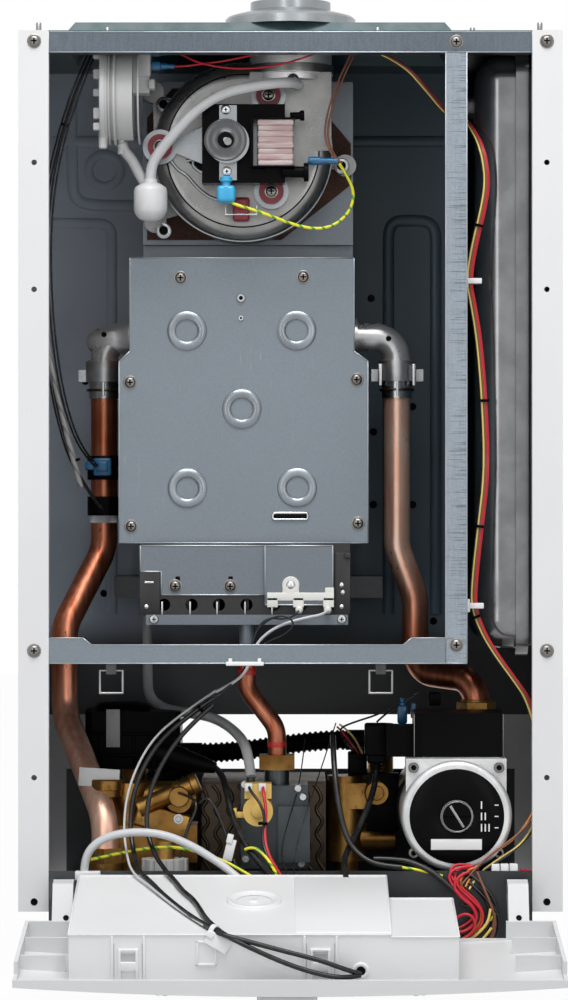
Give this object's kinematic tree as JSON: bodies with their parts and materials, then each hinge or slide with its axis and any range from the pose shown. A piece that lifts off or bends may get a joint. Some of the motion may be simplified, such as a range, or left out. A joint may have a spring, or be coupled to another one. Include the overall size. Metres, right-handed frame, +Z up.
{
  "type": "wall-hung gas boiler",
  "caption": "Open wall-hung gas boiler: steel casing, fan and flue outlet above a burner chamber, pump and brass hydraulics below, and a hinged control unit swung down.",
  "frame": {"origin": "midway between the two hanger holes in the back panel, on the wall plane", "axes": "+X to the right seen from the front, +Y into the wall, +Z up"},
  "size_m": [0.43, 0.4744, 0.7805],
  "materials": {
    "white_paint": "satin",
    "grey_paint": "satin",
    "top_paint": "satin",
    "galvanised_steel": "spangled",
    "vessel_paint": "satin",
    "cast_alloy": "as cast",
    "dark_iron": "painted",
    "coil_tape": "matt",
    "red_rubber": "matt",
    "gasket_board": "matt",
    "silicone": "translucent",
    "copper": "drawn, with a light patina",
    "brass": "hot pressed",
    "black_plastic": "fine grain",
    "yellow_plastic": "smooth",
    "grey_plastic": "smooth",
    "white_plastic": "fine grain",
    "steel_plates": "brazed",
    "board": "lacquered"
  },
  "bodies": {
    "casing": {"left_side_panel": "white_paint", "right_side_panel": "white_paint", "back_panel": "grey_paint", "chamber_divider": "grey_paint", "bottom_tray": "grey_paint", "top_panel": "top_paint", "front_top_rail": "galvanised_steel", "front_right_stile": "galvanised_steel", "front_bottom_rail": "galvanised_steel", "chamber_floor": "galvanised_steel", "flue_hood": "galvanised_steel", "combustion_shell": "galvanised_steel", "combustion_front_plate": "galvanised_steel", "burner_tray": "galvanised_steel", "burner_blades": "galvanised_steel", "burner_cover": "galvanised_steel", "clips_and_brackets": "galvanised_steel", "screws": "galvanised_steel", "expansion_vessel": "vessel_paint", "flue_collar": "cast_alloy", "flue_spigot": "cast_alloy", "fan_scroll": "cast_alloy", "motor_frame": "cast_alloy", "exchanger_elbows": "cast_alloy", "pump_motor": "cast_alloy", "gas_valve": "cast_alloy", "motor_stator": "dark_iron", "pump_volute": "dark_iron", "motor_coil": "coil_tape", "fan_rubber_mounts": "red_rubber", "fan_gasket": "gasket_board", "silicone_hoses": "silicone", "heat_exchanger": "copper", "gas_manifold": "copper", "flow_pipe": "copper", "return_pipe": "copper", "gas_pipe": "copper", "brass_fittings": "brass", "left_manifold": "brass", "right_manifold": "brass", "pump_terminal_box": "black_plastic", "diverter_actuator": "black_plastic", "corrugated_hose": "black_plastic", "wiring_harness": "black_plastic", "control_leads": "black_plastic", "gas_modulator": "yellow_plastic", "pressure_switch": "white_plastic", "plate_exchanger": "steel_plates"},
    "control_unit": {"control_fascia": "white_plastic", "control_lid": "white_plastic", "circuit_board": "board"},
    "heating_dial": {"heating_dial": "white_plastic"},
    "water_dial": {"water_dial": "white_plastic"},
    "reset_button": {"reset_button": "white_plastic"},
    "fan_rotor": {"fan_rotor": "cast_alloy"},
    "pump_rotor": {"pump_rotor": "dark_iron"},
    "pump_vent_plug": {"pump_vent_plug": "black_plastic"},
    "filling_knob": {"filling_knob": "grey_plastic"},
    "left_bail": {"left_bail": "galvanised_steel"},
    "right_bail": {"right_bail": "galvanised_steel"}
  },
  "joints": [
    {"name": "control_hinge", "type": "hinge", "parent": "casing", "child": "control_unit", "pos_m": [0, -0.32, -0.647], "axis": [1, 0, 0], "range_deg": [-98, 0], "deforming": ["control_leads"]},
    {"name": "heating_dial_turn", "type": "hinge", "parent": "control_unit", "child": "heating_dial", "pos_m": [-0.095, -0.40244, -0.70706], "axis": [0, 0.1392, -0.9903], "range_deg": [-270, 0]},
    {"name": "water_dial_turn", "type": "hinge", "parent": "control_unit", "child": "water_dial", "pos_m": [0.095, -0.40244, -0.70706], "axis": [0, 0.1392, -0.9903], "range_deg": [-270, 0]},
    {"name": "reset_press", "type": "slide", "parent": "control_unit", "child": "reset_button", "axis": [0, -0.1392, 0.9903], "range_m": [0, 0.002], "stiffness_N_per_m": 300},
    {"name": "fan_spin", "type": "hinge", "parent": "casing", "child": "fan_rotor", "pos_m": [-0.05, -0.24, -0.055], "axis": [0, -1, 0], "continuous": true},
    {"name": "pump_spin", "type": "hinge", "parent": "casing", "child": "pump_rotor", "pos_m": [0.132, -0.24, -0.592], "axis": [0, -1, 0], "continuous": true},
    {"name": "vent_plug_turn", "type": "hinge", "parent": "casing", "child": "pump_vent_plug", "pos_m": [0.132, -0.285, -0.592], "axis": [0, -1, 0], "range_deg": [0, 720]},
    {"name": "filling_knob_turn", "type": "hinge", "parent": "casing", "child": "filling_knob", "pos_m": [-0.101, -0.248, -0.636], "axis": [0, 0, -1], "range_deg": [0, 360]},
    {"name": "left_bail_swing", "type": "hinge", "parent": "casing", "child": "left_bail", "pos_m": [-0.142, -0.289, -0.476], "axis": [1, 0, 0], "range_deg": [-85, 20]},
    {"name": "right_bail_swing", "type": "hinge", "parent": "casing", "child": "right_bail", "pos_m": [0.0715, -0.289, -0.476], "axis": [1, 0, 0], "range_deg": [-85, 20]}
  ]
}
